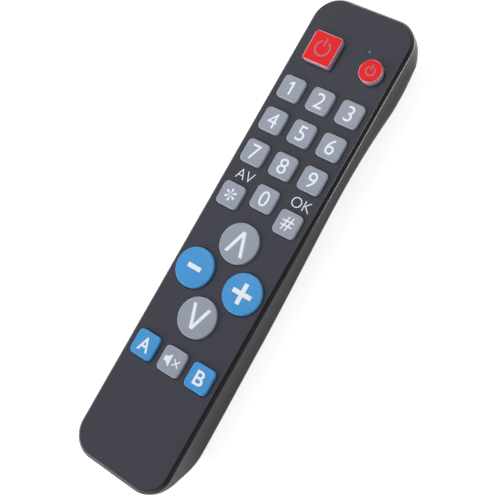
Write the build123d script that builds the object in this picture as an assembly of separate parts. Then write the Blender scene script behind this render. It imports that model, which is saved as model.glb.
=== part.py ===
"""Handheld universal remote control: two moulded shells, a battery door, twenty-one keys and the works.

The origin is under the middle of the underside, on the surface that the remote lies on. +Z points out of the
keyed face, +Y to the end that sends the infrared beam, and +X to the right of someone who reads the keys.
"""
from build123d import *
from math import atan2, cos, degrees, radians, sin
import os

# Keys: their grid on the face, and the body's margins round it
key_pitch = 12.65
row_pitch = 13.45
digit_rows = 3
side_margin = 3.7  # from a number key to the side of the body
first_row_from_end = 38.8
sign_row_drop = 4.15  # the star and the hash, below the zero
up_row_drop = 18.2  # below the zero
disc_spread = 30.25  # between the up key and the down key
step_across = 10.78
bottom_row_drop = 17.7  # below the down key
tail_margin = 45.1
power_square_across = -9.0
power_square_from_end = 21.1
power_round_across = 11.95
power_round_from_end = 22.0

# Keys: caps above the face, flanges and plungers below it
key_width = 9.3
key_length = 9.2
key_corner = 1.8
soft_key_size = 9.7  # the three keys of the bottom row
key_rise = 1.3
key_edge = 0.4
round_key_diameter = 15.3
power_key_width = 11.7
power_key_length = 12.0
power_key_corner = 1.2
power_round_diameter = 8.8
power_key_rise = 2.4
key_slack = 0.25  # round a key in its aperture
key_travel = 1.2
key_skirt = 0.8  # how far a key's flange reaches under the cover
key_flange = 0.9
flange_gap = 0.15
flange_sides = 12  # under a round key
plunger_size = 4.6
plunger_length = 0.95
plunger_sides = 8
contact_gap = 0.1  # left between a pressed plunger and the board

# Both halves of the case
corner_radius = 10.0  # plan corners of both ends
shell_wall = 1.5
floor_wall = 1.7
fit_gap = 0.1  # between pieces that are assembled and stay put
slide_gap = 0.3  # between pieces that move on each other
cut_margin = 5.0  # how far every cutting solid runs past what it cuts
corner_facets = 4  # flats in a quarter turn of a small corner
disc_sides = 36  # of a round key and its aperture
rod_sides = 12  # of a post, a screw or a pin
cover_wall = 1.8
cover_ledge = 0.2  # step in from the rear shell's outline
bevel = 0.9  # polished slope round the face
seam_drop = 1.3  # from the face down to the parting line
lip_wall = 0.65
lip_length = 1.7  # below the parting line, inside the rear shell

# Cells and their bay
cell_diameter = 10.5
cell_length = 43.7
cell_nub_diameter = 3.8
cell_nub_length = 0.8
cell_spacing = 0.7  # between the two cells
cell_clearance = 0.4  # over the door
cell_edge = 0.4
bay_from_tail = 18.1
bay_wall = 1.2
bay_side_gap = 0.45
contact_plate = 0.4
contact_width = 8.6
contact_height = 8.0
contact_tab = 2.0
spring_length = 6.1
spring_wire = 0.5
spring_wire_sides = 4
spring_base_diameter = 6.6
spring_tip_diameter = 4.4
spring_turns = 3.0

# Battery door
door_wall = 1.7
door_overlap = 0.6  # past the bay's inside, at both ends
door_rail_width = 1.5
door_rail_height = 1.0
door_lip = 1.1
door_lip_thickness = 0.8
door_rib = 1.9  # cross rib where the underside starts to rise
door_tail_height = 5.4
grip_ribs = 5
grip_pitch = 2.0
grip_groove = 0.9
grip_depth = 0.5
grip_width = 13.0
grip_from_rib = 10.0

# Rubber sheet and circuit board
sheet_thickness = 0.8
sheet_side_gap = 1.6  # in from the cover's lip
sheet_from_end = 14.2
sheet_past_keys = 6.5  # beyond the middle of the bottom row
sheet_hole_gap = 0.5
board_thickness = 1.2
board_side_gap = 1.0  # in from the rear shell's wall
board_from_end = 12.3
board_past_keys = 11.9

# Screws and posts
post_diameter = 6.8
post_head = 2.2  # from the screw's seat to the top of its post
screw_head_diameter = 4.2
screw_head_height = 1.5
screw_diameter = 2.2
screw_length = 5.2
screw_play = 0.2
pilot_diameter = 1.8
boss_diameter = 5.6
front_post_from_side = 6.5
front_post_from_end = 8.3
back_post_across = 9.0
back_post_from_tail = 7.1
board_post_diameter = 4.0
board_post_from_side = 9.0
board_posts_from_end = (46.2, 71.2, 91.2)

# Infrared sender and its window
sender_diameter = 5.0
sender_length = 8.6
sender_dome_steps = 3
sender_flange = 5.8
sender_flange_length = 1.0
sender_drop = 3.8  # its axis below the parting line
sender_setback = 0.4  # from the window to the dome's tip
lead_size = 0.5
lead_pitch = 2.54
lead_on_board = 4.0
window_width = 14.0
window_height = 3.9
window_ear = 0.8
window_corner = 0.8

# Indicator between the power keys
indicator_across = 6.9
indicator_from_end = 14.9
indicator_hole = 1.8
pipe_collar = 3.2
pipe_collar_height = 0.6
indicator_size = 2.0
indicator_height = 0.9

# Parts under the board
chip_width = 7.5
chip_length = 10.3
chip_height = 2.3
chip_from_end = 59.2
chip_leg_pitch = 1.27
chip_leg_count = 8
chip_leg_width = 0.42
chip_leg_reach = 1.4
chip_leg_thickness = 0.25
resonator_width = 7.0
resonator_depth = 2.6
resonator_height = 5.0
resonator_from_end = 37.2
capacitor_diameter = 5.0
capacitor_length = 9.0
capacitor_from_end = 80.7
capacitor_edge = 0.4

# Sections of the rear shell. The ends turn round the plan corners, at these angles from the sides, and the
# middle runs from the sender's end to the tail. Each row ends with the depth as a share of the body's depth,
# and with the lower corner's reach across and up as shares of half the width and of the depth.
section_step = 7.8
section_facets = 7  # straight strips that round a lower corner
corner_steps = 6  # sections in each quarter turn of the plan
corner_angles = (22, 45, 68, 90)
nose_shares = ((0.765, 0.333, 0.510), (0.642, 0.300, 0.397), (0.530, 0.238, 0.294), (0.441, 0.190, 0.245))
middle_shares = (
    (0.8950, 0.892, 0.286, 0.588),
    (0.8235, 0.980, 0.267, 0.662),
    (0.7395, 1.005, 0.257, 0.686),
    (0.6450, 0.931, 0.267, 0.647),
    (0.5400, 0.843, 0.286, 0.588),
    (0.3403, 0.735, 0.286, 0.441),
    (0.1197, 0.804, 0.333, 0.417),
    (-0.1008, 0.926, 0.410, 0.441),
    (-0.3109, 1.0025, 0.438, 0.451),
    (-0.5630, 1.005, 0.381, 0.392),
    (-0.7311, 1.005, 0.348, 0.358),
    (-0.8151, 0.975, 0.348, 0.358),
    (-0.8571, 0.877, 0.376, 0.387),
    (-0.8950, 0.755, 0.443, 0.456),
)
tail_shares = ((0.632, 0.429, 0.436), (0.525, 0.333, 0.338), (0.456, 0.257, 0.265), (0.422, 0.190, 0.221))

# The body is as long and as wide as the key field and its margins make it
key_field = digit_rows * row_pitch + up_row_drop + disc_spread + bottom_row_drop
body_length = first_row_from_end + key_field + tail_margin
half_length = body_length / 2
half_width = key_pitch + key_width / 2 + side_margin
body_width = 2 * half_width
first_row = half_length - first_row_from_end
zero_row = first_row - digit_rows * row_pitch
up_row = zero_row - up_row_drop
bottom_row = up_row - disc_spread - bottom_row_drop

# It is as deep as the stack from the door up to the face makes it
cell_axis = door_wall + cell_clearance + cell_diameter / 2
bay_ceiling = cell_axis + cell_diameter / 2 + slide_gap
board_bottom = bay_ceiling + bay_wall
board_top = board_bottom + board_thickness
plunger_end = board_top + contact_gap + key_travel
flange_bottom = plunger_end + plunger_length
flange_top = flange_bottom + key_flange
cover_underside = flange_top + flange_gap
face = cover_underside + cover_wall
body_depth = face
seam = face - seam_drop
lip_bottom = seam - lip_length
post_top = board_bottom + fit_gap
screw_seat = post_top - post_head
sender_height = seam - sender_drop

# The bay is as long as a cell and its spring, and the door closes it
end_inside = half_length - shell_wall
lip_inside = half_width - shell_wall - fit_gap - lip_wall
cell_pitch = cell_diameter + cell_spacing
bay_half_width = (cell_pitch + cell_diameter) / 2 + bay_side_gap
bay_length = cell_length + cell_nub_length + spring_length + 2 * (contact_plate + fit_gap)
bay_back = bay_from_tail - half_length
bay_front = bay_back + bay_length
door_half_width = bay_half_width + bay_wall + slide_gap + door_rail_width
door_front = bay_front + door_overlap
door_tail = bay_back - bay_wall - door_overlap
door_rail_top = door_wall + door_rail_height
door_rib_front = door_tail + door_rib


def rounded(width, length, radius, facets=corner_facets):
    """A rectangle whose round corners are a few flats each."""
    points = []
    for start, side_x, side_y in ((0, 1, 1), (90, -1, 1), (180, -1, -1), (270, 1, -1)):
        for index in range(facets + 1):
            angle = radians(start + 90 * index / facets)
            across = side_x * (width / 2 - radius) + radius * cos(angle)
            points.append((across, side_y * (length / 2 - radius) + radius * sin(angle)))
    return make_face(Polyline(*points, close=True))


def outline(inset, level, height):
    """The body's plan outline, drawn in by the inset, as a block."""
    sketch = RectangleRounded(body_width - 2 * inset, body_length - 2 * inset, corner_radius - inset)
    return Pos(0, 0, level) * extrude(sketch, height)


def block(x_from, x_to, y_from, y_to, z_from, z_to):
    middle = Pos((x_from + x_to) / 2, (y_from + y_to) / 2, (z_from + z_to) / 2)
    return middle * Box(x_to - x_from, y_to - y_from, z_to - z_from)


def prism(across, along, size, sides, z_from, z_to):
    """An upright bar with flat sides, as wide across its flats as the size."""
    sketch = RegularPolygon(size / 2, sides, major_radius=False)
    return Pos(across, along, z_from) * extrude(sketch, z_to - z_from)


def post(across, along, diameter, z_from, z_to):
    return prism(across, along, diameter, rod_sides, z_from, z_to)


def smooth(rows, place):
    """What a table gives at a place between its rows, on a smooth curve. Each row starts with its place."""
    last = len(rows) - 1
    k = max(i for i in range(last) if rows[i][0] <= place or i == 0)
    gap = rows[k + 1][0] - rows[k][0]
    t = (place - rows[k][0]) / gap

    def slope(i, column):
        before, after = max(i - 1, 0), min(i + 1, last)
        return (rows[after][column] - rows[before][column]) / (rows[after][0] - rows[before][0])

    values = []
    for column in range(1, len(rows[0])):
        start, end = rows[k][column], rows[k + 1][column]
        swing = start * (1 + 2 * t) * (1 - t) ** 2 + end * (3 - 2 * t) * t ** 2
        lean = slope(k, column) * t * (1 - t) ** 2 - slope(k + 1, column) * (1 - t) * t ** 2
        values.append(swing + gap * lean)
    return values


def hull_section(along, reach, low, across, up):
    """One cross-section of the rear shell: straight sides, elliptical lower corners and a flat floor."""
    corner = []
    for index in range(section_facets + 1):
        angle = radians(90 * index / section_facets)
        corner.append((reach - across + across * cos(angle), low + up - up * sin(angle)))
    mirrored = [(-x, z) for x, z in reversed(corner)]
    section = Plane(origin=(0, along, 0), x_dir=(1, 0, 0), z_dir=(0, -1, 0))
    return section * make_face(Polyline((-reach, seam), (reach, seam), *corner, *mirrored, close=True))


def hull(inset, floor_inset):
    """The wavy boat shape of the rear shell, drawn in by the insets at its sides and its floor."""
    radius = corner_radius - inset
    straight = half_length - corner_radius
    middle = sorted((share * half_length, *row) for share, *row in middle_shares)
    count = round(2 * straight / section_step)
    rows = []
    for index in range(count + 1):
        along = straight * (2 * index / count - 1)
        rows.append((along, half_width - inset, *smooth(middle, along)))
    for side, shares in ((1, nose_shares), (-1, tail_shares)):
        turned = [(0, *smooth(middle, side * straight))]
        turned += [(angle, *row) for angle, row in zip(corner_angles, shares)]
        for index in range(corner_steps):
            angle = 90 * (index + 1) / corner_steps
            along = straight + radius * sin(radians(angle))
            reach = half_width - corner_radius + radius * cos(radians(angle))
            rows.append((side * along, reach, *smooth(turned, angle)))
    sections = []
    for along, reach, depth_share, across_share, up_share in sorted(rows):
        low = max(face - depth_share * body_depth, 0) + floor_inset
        across = across_share * half_width - inset
        up = up_share * body_depth - floor_inset
        sections.append(hull_section(along, reach, low, across, up))
    return loft(sections, ruled=True)


def key_block(shape, width, length, corner, level, height):
    if shape == "round":
        return prism(0, 0, width, disc_sides, level, level + height)
    return Pos(0, 0, level) * extrude(rounded(width, length, corner), height)


def key_table():
    """Each key's name, place, shape, size, corner and rise."""
    digits = ("one", "two", "three", "four", "five", "six", "seven", "eight", "nine")
    square = ("square", key_width, key_length, key_corner, key_rise)
    soft = ("square", soft_key_size, soft_key_size, key_corner, key_rise)
    disc = ("round", round_key_diameter, round_key_diameter, round_key_diameter / 2, key_rise)
    power = ("square", power_key_width, power_key_length, power_key_corner, power_key_rise)
    small = ("round", power_round_diameter, power_round_diameter, power_round_diameter / 2, power_key_rise)
    columns = len(digits) // digit_rows
    keys = {}
    for index, name in enumerate(digits):
        across = (index % columns - 1) * key_pitch
        keys["key_" + name] = (across, first_row - index // columns * row_pitch, *square)
    keys["key_zero"] = (0, zero_row, *square)
    keys["key_up"] = (0, up_row, *disc)
    keys["key_down"] = (0, up_row - disc_spread, *disc)
    keys["key_mute"] = (0, bottom_row, *soft)
    for side, sign, step, letter in ((-1, "star", "minus", "a"), (1, "hash", "plus", "b")):
        keys["key_" + sign] = (side * key_pitch, zero_row - sign_row_drop, *square)
        keys["key_" + step] = (side * step_across, up_row - disc_spread / 2, *disc)
        keys["key_" + letter] = (side * key_pitch, bottom_row, *soft)
    keys["key_power_square"] = (power_square_across, half_length - power_square_from_end, *power)
    keys["key_power_round"] = (power_round_across, half_length - power_round_from_end, *small)
    return keys


def make_key(across, along, shape, width, length, corner, rise):
    """A cap that stands out of the face, a flange that keeps it in, and a plunger above its contact."""
    cap = key_block(shape, width, length, corner, flange_top, face + rise - flange_top)
    cap = chamfer(cap.edges().group_by(Axis.Z)[-1], key_edge)
    if shape == "round":
        flange = prism(0, 0, width + 2 * key_skirt, flange_sides, flange_bottom, flange_top)
    else:
        reach = width / 2 + key_skirt
        run = length / 2 + key_skirt
        flange = block(-reach, reach, -run, run, flange_bottom, flange_top)
    room = lip_inside - slide_gap
    flange = (Pos(across, along, 0) * flange) & block(-room, room, -body_length, body_length, 0, body_depth)
    plunger = prism(across, along, plunger_size, plunger_sides, plunger_end, flange_bottom)
    return Pos(across, along, 0) * cap + flange + plunger


def make_front_cover(keys):
    """The flat half of the case, with a bevelled rim, a locating lip, key apertures and screw bosses."""
    lip_inset = shell_wall + fit_gap
    lip = outline(lip_inset, lip_bottom, seam - lip_bottom)
    lip -= outline(lip_inset + lip_wall, lip_bottom - cut_margin, seam - lip_bottom + 2 * cut_margin)
    plate = outline(cover_ledge, seam, seam_drop)
    plate = chamfer(plate.edges().group_by(Axis.Z)[-1], bevel)
    inside = [outline(lip_inset, cover_underside, seam - cover_underside), lip]
    holes = []
    for across, along in post_places():
        inside.append(post(across, along, boss_diameter, post_top + fit_gap, cover_underside))
        pilot_end = screw_seat + screw_length + fit_gap
        holes.append(post(across, along, pilot_diameter, post_top - cut_margin, pilot_end))
    for across, along, shape, width, length, corner, _ in keys.values():
        hole_width = width + 2 * key_slack
        hole_length = length + 2 * key_slack
        hole = key_block(shape, hole_width, hole_length, corner + key_slack, lip_bottom, cut_margin + face)
        holes.append(Pos(across, along, 0) * hole)
    dot_along = half_length - indicator_from_end
    holes.append(post(indicator_across, dot_along, indicator_hole, lip_bottom, face + cut_margin))
    return (plate + inside) - holes


def post_places():
    places = []
    for side in (-1, 1):
        places.append((side * (half_width - front_post_from_side), half_length - front_post_from_end))
        places.append((side * back_post_across, back_post_from_tail - half_length))
    return places


def door_region(gap):
    """The part of the underside that the battery door takes, grown by a gap, open towards the tail."""
    half = door_half_width + gap
    tail_half = door_half_width + door_lip + gap
    panel = block(-half, half, -body_length, door_front + gap, -cut_margin, door_wall + gap)
    rib = block(-half, half, -body_length, door_rib_front + gap, -cut_margin, door_rail_top + gap)
    tail = block(-tail_half, tail_half, -body_length, door_tail + gap, -cut_margin, door_tail_height + gap)
    return panel + rib + tail


def door_rails(gap):
    """The two rails inside the door, with lips that slide over the shell's ledges, grown by a gap."""
    start = bay_front - slide_gap - door_overlap + gap
    end = door_tail if gap == 0 else -body_length
    top = door_rail_top + gap
    lip_low = door_rail_top - door_lip_thickness - gap
    rails = []
    for side in (-1, 1):
        edge = side * door_half_width
        inner = edge - side * (door_rail_width + gap)
        outer = edge + side * (door_lip + gap)
        rails.append(block(min(inner, edge), max(inner, edge), end, start, door_wall, top))
        rails.append(block(min(inner, outer), max(inner, outer), end, start, lip_low, top))
    return rails


def make_battery_door(solid):
    """The sliding door: a curved panel, two lipped rails, a stiff tail and grooves for the thumb."""
    between_rails = door_half_width - door_rail_width
    rib = block(-between_rails, between_rails, door_tail, door_rib_front, door_wall, door_rail_top)
    door = (solid & door_region(0)) + [rib, *door_rails(0)]
    half = grip_width / 2
    grooves = []
    for index in range(grip_ribs):
        back = door_rib_front + grip_from_rib - index * grip_pitch - grip_groove / 2
        grooves.append(block(-half, half, back, back + grip_groove, -cut_margin, grip_depth))
    return door - grooves


def make_rear_shell(solid):
    """The wavy tray, with the battery bay, screw posts, board posts and the ways that the door slides in."""
    half = bay_half_width + bay_wall
    back = bay_back - bay_wall
    front = bay_front + bay_wall
    rail_room = door_rail_top + slide_gap
    inside = [
        block(-half, half, back, front, rail_room, board_bottom),
        block(-half_width, half_width, back, front, bay_ceiling, board_bottom),
        block(-half_width, half_width, back, bay_back, -cut_margin, board_bottom),
        block(-half_width, half_width, bay_front, front, -cut_margin, board_bottom),
    ]
    for across, along in post_places():
        inside.append(post(across, along, post_diameter, -cut_margin, post_top))
    for from_end in board_posts_from_end:
        for side in (-1, 1):
            across = side * (half_width - board_post_from_side)
            along = half_length - from_end
            inside.append(post(across, along, board_post_diameter, -cut_margin, board_bottom))
    shell = solid - hull(shell_wall, floor_wall)
    shell += (inside[0] + inside[1:]) & solid

    bay = block(-bay_half_width, bay_half_width, bay_back, bay_front, door_wall, bay_ceiling)
    under_walls = block(-half, half, bay_back, bay_front, door_wall, rail_room)
    window = window_block(window_width, 0, shell_wall + 2 * cut_margin)
    openings = [bay, under_walls, door_region(slide_gap), *door_rails(slide_gap)]
    openings.append(Pos(0, end_inside - cut_margin, 0) * window)
    for across, along in post_places():
        openings.append(post(across, along, screw_head_diameter + 2 * screw_play, -cut_margin, screw_seat))
        openings.append(post(across, along, screw_diameter + 2 * screw_play, -cut_margin, body_depth))
    slot_half = contact_tab / 2 + fit_gap
    slot_back = bay_front - contact_plate - fit_gap
    for side in (-1, 1):
        middle = side * cell_pitch / 2
        slot = block(middle - slot_half, middle + slot_half, slot_back, bay_front, cell_axis, body_depth)
        openings.append(slot)
    return shell - openings


def window_block(width, grow, length):
    """A rounded upright slot of the window's height, pushed along the body from its middle."""
    upright = Plane(origin=(0, 0, sender_height), x_dir=(1, 0, 0), z_dir=(0, 1, 0))
    sketch = rounded(width + 2 * grow, window_height + 2 * grow, window_corner)
    return extrude(upright * sketch, length)


def make_infrared_window():
    """A dark lens plate that fills the slot in the end wall, with ears behind the wall."""
    plate = Pos(0, end_inside, 0) * window_block(window_width, -fit_gap, shell_wall)
    ears = window_block(window_width + 2 * window_ear, -fit_gap, window_ear)
    return plate + Pos(0, end_inside - window_ear, 0) * ears


def make_infrared_sender():
    """A domed light-emitting diode that lies along the body, its leads cranked under the board."""
    tip = end_inside - window_ear - sender_setback
    radius = sender_diameter / 2
    base = tip - sender_length
    rim = sender_flange / 2
    step = base + sender_flange_length
    half_section = [(0, base), (rim, base), (rim, step), (radius, step)]
    for index in range(sender_dome_steps + 1):
        angle = radians(90 * index / sender_dome_steps)
        half_section.append((radius * cos(angle), tip - radius + radius * sin(angle)))
    sender = Pos(0, 0, sender_height) * revolve(make_face(Polyline(*half_section, close=True)), Axis.Y)
    lead_low = board_bottom - lead_size
    lead_high = sender_height + lead_size / 2
    board_front = half_length - board_from_end
    crank = board_front + fit_gap
    for side in (-1, 1):
        left = side * lead_pitch / 2 - lead_size / 2
        right = left + lead_size
        sender += block(left, right, crank, base, lead_high - lead_size, lead_high)
        sender += block(left, right, crank, crank + lead_size, lead_low, lead_high)
        sender += block(left, right, board_front - lead_on_board, crank, lead_low, board_bottom)
    return sender


def make_circuit_board():
    half = half_width - shell_wall - board_side_gap
    back = bottom_row - board_past_keys
    board = block(-half, half, back, half_length - board_from_end, board_bottom, board_top)
    return fillet(board.edges().filter_by(Axis.Z), board_thickness)


def make_keypad_sheet(keys):
    """The silicone sheet on the board, with an opening under each key and for the light pipe."""
    half = lip_inside - sheet_side_gap
    back = bottom_row - sheet_past_keys
    top = board_top + sheet_thickness
    sheet = block(-half, half, back, half_length - sheet_from_end, board_top, top)
    sheet = fillet(sheet.edges().filter_by(Axis.Z), sheet_thickness)
    wide = plunger_size + 2 * sheet_hole_gap
    holes = [prism(across, along, wide, plunger_sides, 0, face) for across, along, *_ in keys.values()]
    pipe_hole = pipe_collar + 2 * sheet_hole_gap
    pipe_along = half_length - indicator_from_end
    holes.append(prism(indicator_across, pipe_along, pipe_hole, plunger_sides, 0, face))
    return sheet - holes


def make_indicator():
    """A small surface-mounted diode on the board, under the light pipe."""
    half = indicator_size / 2
    chip = block(-half, half, -half, half, board_top, board_top + indicator_height)
    return Pos(indicator_across, half_length - indicator_from_end, 0) * chip


def make_light_pipe():
    """A clear pin that carries the indicator's light up to the face, with a collar under the cover."""
    along = half_length - indicator_from_end
    pin_low = board_top + indicator_height + fit_gap
    pipe = post(indicator_across, along, indicator_hole - 2 * fit_gap, pin_low, face)
    collar_low = cover_underside - pipe_collar_height
    return pipe + post(indicator_across, along, pipe_collar, collar_low, cover_underside)


def make_cell(across, turn):
    """A cylindrical cell with its nub, turned end for end where the turn is -1."""
    can = Cylinder(cell_diameter / 2, cell_length)
    can = chamfer(can.edges().filter_by(GeomType.CIRCLE), cell_edge)
    nub = Pos(0, 0, (cell_length + cell_nub_length) / 2) * Cylinder(cell_nub_diameter / 2, cell_nub_length)
    cell = Rot(-90 * turn, 0, 0) * (can + nub)
    nub_end = (bay_front if turn == 1 else bay_back) - turn * (contact_plate + fit_gap)
    middle = nub_end - turn * (cell_nub_length + cell_length / 2)
    return Pos(across, middle, cell_axis) * cell


def make_front_contacts():
    """Two plated steel flags flat against the bay's front wall, each with a tab up to the board."""
    flags = []
    low = cell_axis - contact_height / 2
    back = bay_front - contact_plate
    for side in (-1, 1):
        middle = side * cell_pitch / 2
        half = contact_width / 2
        wide = block(middle - half, middle + half, back, bay_front, low, low + contact_height)
        half = contact_tab / 2
        tab = block(middle - half, middle + half, back, bay_front, cell_axis, board_bottom)
        flags.append((wide + tab).solid())
    return Compound(children=flags)


def make_back_contact():
    """One plated steel plate on the bay's back wall, which joins the two cells in series."""
    half = (cell_pitch + contact_width) / 2
    low = cell_axis - contact_height / 2
    return block(-half, half, bay_back, bay_back + contact_plate, low, low + contact_height)


def make_spring(across, wall_side):
    """A conical coil that presses on a cell's flat end, wound from its base on the contact."""
    wall = bay_front if wall_side == 1 else bay_back
    height = spring_length - spring_wire
    narrowing = degrees(atan2((spring_base_diameter - spring_tip_diameter) / 2, height))
    path = Helix(height / spring_turns, height, spring_base_diameter / 2, cone_angle=-narrowing)
    section = Plane(origin=path @ 0, z_dir=path % 0) * RegularPolygon(spring_wire / 2, spring_wire_sides)
    coil = sweep(section, path=path)
    base = wall - wall_side * (contact_plate + spring_wire / 2)
    return Pos(across, base, cell_axis) * (Rot(90 * wall_side, 0, 0) * coil)


def make_chip():
    """The controller in a flat package, legs out to both sides, under the board."""
    half = chip_width / 2
    along = half_length - chip_from_end
    run = chip_length / 2
    chip = block(-half, half, along - run, along + run, board_bottom - chip_height, board_bottom)
    reach = half + chip_leg_reach
    for index in range(chip_leg_count):
        leg = along + (index - (chip_leg_count - 1) / 2) * chip_leg_pitch
        low = board_bottom - chip_leg_thickness
        chip += block(-reach, reach, leg - chip_leg_width / 2, leg + chip_leg_width / 2, low, board_bottom)
    return chip


def make_resonator():
    half = resonator_width / 2
    along = half_length - resonator_from_end
    run = resonator_depth / 2
    body = block(-half, half, along - run, along + run, board_bottom - resonator_height, board_bottom)
    return fillet(body.edges().filter_by(Axis.Z), resonator_depth / 3)


def make_capacitor():
    """A smoothing capacitor that lies across the body, flat against the board."""
    can = Cylinder(capacitor_diameter / 2, capacitor_length)
    can = chamfer(can.edges().filter_by(GeomType.CIRCLE), capacitor_edge)
    along = half_length - capacitor_from_end
    return Pos(0, along, board_bottom - capacitor_diameter / 2) * (Rot(0, 90, 0) * can)


def make_screws():
    screws = []
    for across, along in post_places():
        head = post(across, along, screw_head_diameter, screw_seat - screw_head_height, screw_seat)
        shank = post(across, along, pilot_diameter, screw_seat, screw_seat + screw_length)
        screws.append(head + shank)
    return Compound(children=[screw.solid() for screw in screws])


def save(name, shape):
    export_step(shape, "parts/" + name + ".step")


os.makedirs("parts", exist_ok=True)
keys = key_table()
for name, values in keys.items():
    save(name, make_key(*values))
save("front_cover", make_front_cover(keys))
boat = hull(0, 0)
save("rear_shell", make_rear_shell(boat))
save("battery_door", make_battery_door(boat))
save("keypad_sheet", make_keypad_sheet(keys))
save("circuit_board", make_circuit_board())
save("infrared_window", make_infrared_window())
save("infrared_sender", make_infrared_sender())
save("indicator_diode", make_indicator())
save("light_pipe", make_light_pipe())
save("controller_chip", make_chip())
save("resonator", make_resonator())
save("capacitor", make_capacitor())
save("cell_left", make_cell(-cell_pitch / 2, 1))
save("cell_right", make_cell(cell_pitch / 2, -1))
save("spring_left", make_spring(-cell_pitch / 2, -1))
save("spring_right", make_spring(cell_pitch / 2, 1))
save("contact_flags_front", make_front_contacts())
save("contact_flags_back", make_back_contact())
save("case_screws", make_screws())
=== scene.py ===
"""A handheld universal remote control on a white table, put together in the order that its maker would.

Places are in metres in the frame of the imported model: the origin is under the middle of the underside,
+Z out of the keyed face, +Y to the end that sends the infrared beam, +X to the right of the reader.
"""

import bmesh
import bpy
import numpy as np
from math import atan2, cos, pi, radians, sin, tan
from mathutils import Matrix, Vector


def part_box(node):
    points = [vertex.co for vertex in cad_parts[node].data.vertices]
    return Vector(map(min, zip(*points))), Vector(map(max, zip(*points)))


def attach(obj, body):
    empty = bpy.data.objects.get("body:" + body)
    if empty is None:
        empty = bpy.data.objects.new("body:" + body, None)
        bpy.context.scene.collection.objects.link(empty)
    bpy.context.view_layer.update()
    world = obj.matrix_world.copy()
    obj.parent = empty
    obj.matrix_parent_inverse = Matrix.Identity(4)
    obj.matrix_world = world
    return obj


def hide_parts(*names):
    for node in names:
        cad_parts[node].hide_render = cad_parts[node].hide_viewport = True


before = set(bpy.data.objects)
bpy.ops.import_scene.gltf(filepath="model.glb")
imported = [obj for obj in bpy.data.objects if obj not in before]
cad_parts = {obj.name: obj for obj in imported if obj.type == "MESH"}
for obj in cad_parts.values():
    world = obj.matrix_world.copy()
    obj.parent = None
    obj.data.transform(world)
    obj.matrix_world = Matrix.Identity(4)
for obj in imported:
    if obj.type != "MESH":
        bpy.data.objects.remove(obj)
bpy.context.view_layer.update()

# Camera, at the photograph's place above the lower right of the remote. It was found by matching the keys'
# pitch and the outline of the body, and it looks down on the face from the reader's right.
MM = 0.001
camera_place = Vector((155.588, -16.553, 335.493)) * MM
camera_right = Vector((0.79263883, 0.49370369, -0.35774341))
camera_up = Vector((-0.43021926, 0.86867451, 0.24559311))
camera_lens = 71.115
camera_near = 10.0 * MM


def add_object(name, data):
    """A new object in the scene."""
    piece = bpy.data.objects.new(name, data)
    bpy.context.scene.collection.objects.link(piece)
    return piece


camera_data = bpy.data.cameras.new("camera")
camera_data.lens = camera_lens
camera_data.clip_start = camera_near
camera = add_object("camera", camera_data)
turn = Matrix((camera_right, camera_up, camera_right.cross(camera_up))).transposed()
camera.matrix_world = Matrix.Translation(camera_place) @ turn.to_4x4()
bpy.context.scene.camera = camera
bpy.context.scene.view_settings.view_transform = "Standard"

# Table, a broad sheet of smooth white board. The camera sees it as plain white and polished surfaces see it
# dimmer, and it keeps the soft shadow that the remote throws.
table_half = 2.0
table_white = (0.92, 0.92, 0.92, 1)
table_roughness = 0.9
table_glow = 0.8
table_glow_in_gloss = 0.1
node_spacing = 220


def new_material(name, **sockets):
    """A material and its shader, with plain values for the shader's sockets."""
    material = bpy.data.materials.new(name)
    material.use_nodes = True
    shader = material.node_tree.nodes["Principled BSDF"]
    for socket, value in sockets.items():
        shader.inputs[socket.replace("_", " ")].default_value = value
    return material, shader


def feed(tree, socket, value):
    """Links a socket to another node's output, or sets its value."""
    if isinstance(value, bpy.types.NodeSocket):
        tree.links.new(value, socket)
    else:
        socket.default_value = value


def add_node(tree, kind, feeds=None, **settings):
    """A new node to the right of those before it, with its settings and what its sockets are fed."""
    node = tree.nodes.new(kind)
    node.location.x = node_spacing * len(tree.nodes)
    for key, value in settings.items():
        setattr(node, key, value)
    for socket, value in (feeds or {}).items():
        feed(tree, node.inputs[socket], value)
    return node


def reckon(tree, operation, *values):
    """The result of a sum on the values, each a number or another node's output."""
    return add_node(tree, "ShaderNodeMath", dict(enumerate(values)), operation=operation).outputs[0]


def ray_kinds(tree):
    """Whether a ray comes from the camera, and whether it comes from something polished."""
    seen = add_node(tree, "ShaderNodeLightPath").outputs
    return seen["Is Camera Ray"], reckon(tree, "MAXIMUM", seen["Is Glossy Ray"], seen["Is Transmission Ray"])


table_mesh = bpy.data.meshes.new("table")
table_corners = [(x * table_half, y * table_half, 0) for x, y in ((-1, -1), (1, -1), (1, 1), (-1, 1))]
table_mesh.from_pydata(table_corners, [], [(0, 1, 2, 3)])
table = add_object("table", table_mesh)
table_material, board = new_material("white_board", Base_Color=table_white, Roughness=table_roughness)
tree = table_material.node_tree
camera_ray, polished_ray = ray_kinds(tree)
in_gloss = reckon(tree, "MULTIPLY", polished_ray, table_glow_in_gloss)
strength = reckon(tree, "MULTIPLY_ADD", camera_ray, table_glow, in_gloss)
glow = add_node(tree, "ShaderNodeEmission", {"Strength": strength})
both = add_node(tree, "ShaderNodeAddShader", {0: board.outputs[0], 1: glow.outputs[0]})
feed(tree, tree.nodes["Material Output"].inputs["Surface"], both.outputs[0])
table_mesh.materials.append(table_material)

# Studio light: a plain white backdrop under a dim ceiling, one broad soft panel over the far end and another
# low on the near left. The room is dimmer to the right, as black card would make it.
room_light = 0.30
ceiling_light = 0.16
room_lean = 0.75
backdrop_top = 0.14
# Where a Mix node has its two inputs and its result
mix_sockets = {"FLOAT": (2, 3, 0), "RGBA": (6, 7, 2)}
# Each panel's width, length, power and place
panels = ((0.24, 0.45, 3.3, (-0.30, 0.26, 0.75)), (0.6, 0.6, 3.7, (-0.50, -0.56, 0.45)))


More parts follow.
